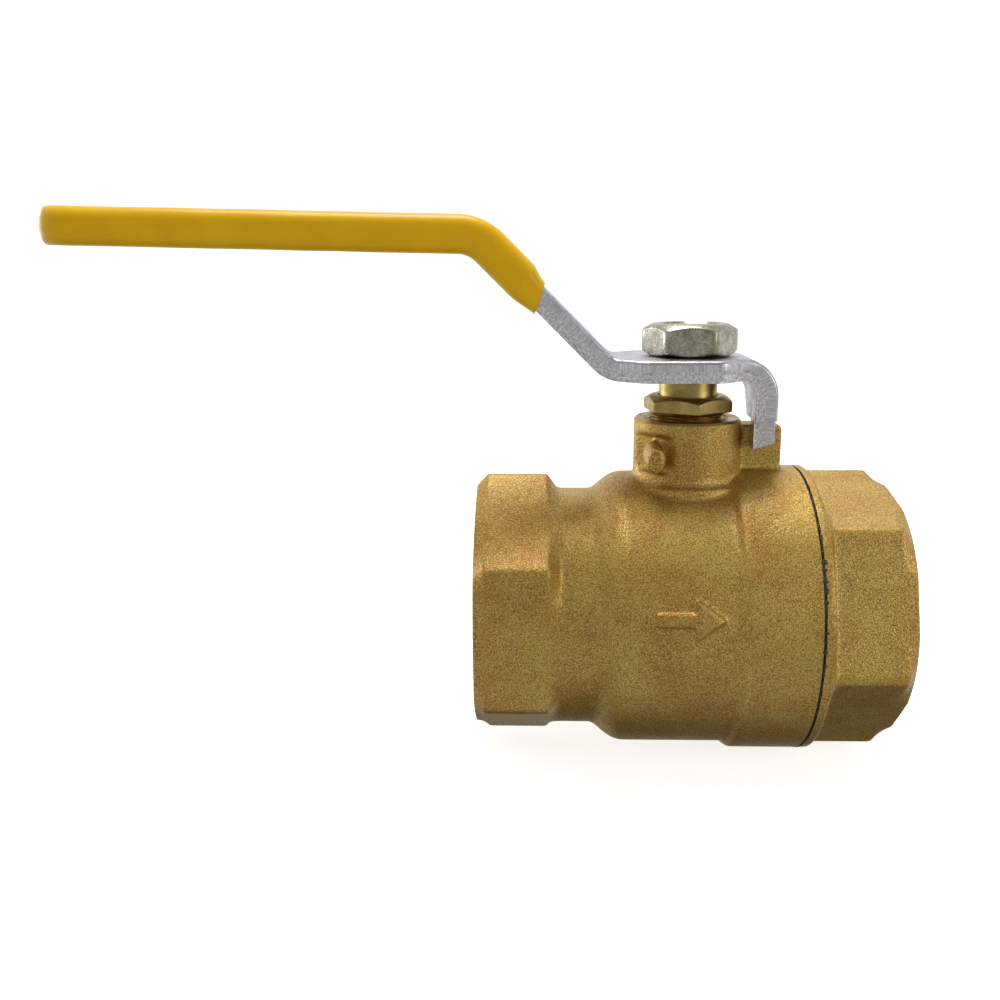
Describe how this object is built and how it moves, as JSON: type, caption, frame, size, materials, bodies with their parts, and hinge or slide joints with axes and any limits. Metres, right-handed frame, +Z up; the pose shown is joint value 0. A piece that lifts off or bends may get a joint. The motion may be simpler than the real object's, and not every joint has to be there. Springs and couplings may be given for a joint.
{
  "type": "ball valve",
  "caption": "Brass pipe ball valve with hexagonal female-threaded ends, a bored ball on a sealed stem and a bent plate lever with a yellow sleeved grip.",
  "frame": {"origin": "centre of the ball, where the pipe axis crosses the stem axis", "axes": "+X along the pipe from the body's port to the end cap's port, +Z up the stem, and the open lever points to -X"},
  "size_m": [0.186, 0.0646, 0.1223],
  "materials": {
    "forged_brass": "shot-blasted hot forging, matte and finely grained",
    "machined_brass": "turned, satin to shiny, lightly tarnished",
    "chromed_ball": "hard-chromed and polished",
    "ptfe": "white, waxy",
    "lever_steel": "blanked and bent plate, zinc plated, sheared edges",
    "nut_steel": "zinc plated, slightly yellow passivation",
    "yellow_vinyl": "dipped vinyl, smooth and glossy",
    "thread_sealant": "cured anaerobic thread sealant, dark and uneven"
  },
  "bodies": {
    "valve_body": {"body": "forged_brass", "end_cap": "forged_brass", "thread_sealant_bead": "thread_sealant", "seat_ring_body_side": "ptfe", "seat_ring_cap_side": "ptfe", "stem_thrust_washer": "ptfe", "packing_ring_lower": "ptfe", "packing_ring_upper": "ptfe", "gland_nut": "machined_brass"},
    "lever_assembly": {"stem": "machined_brass", "lever": "lever_steel", "grip_sleeve": "yellow_vinyl", "handle_nut": "nut_steel"},
    "ball": {"ball": "chromed_ball"}
  },
  "joints": [
    {"name": "lever_turn", "type": "hinge", "parent": "valve_body", "child": "lever_assembly", "pos_m": [0, 0, 0.0551], "axis": [0, 0, -1], "range_deg": [0, 90]},
    {"name": "ball_turn", "type": "hinge", "parent": "valve_body", "child": "ball", "pos_m": [0, 0, 0], "axis": [0, 0, -1], "range_deg": [0, 90]}
  ],
  "couplings": [
    {"joint": "ball_turn", "follows": "lever_turn", "ratio": 1}
  ]
}
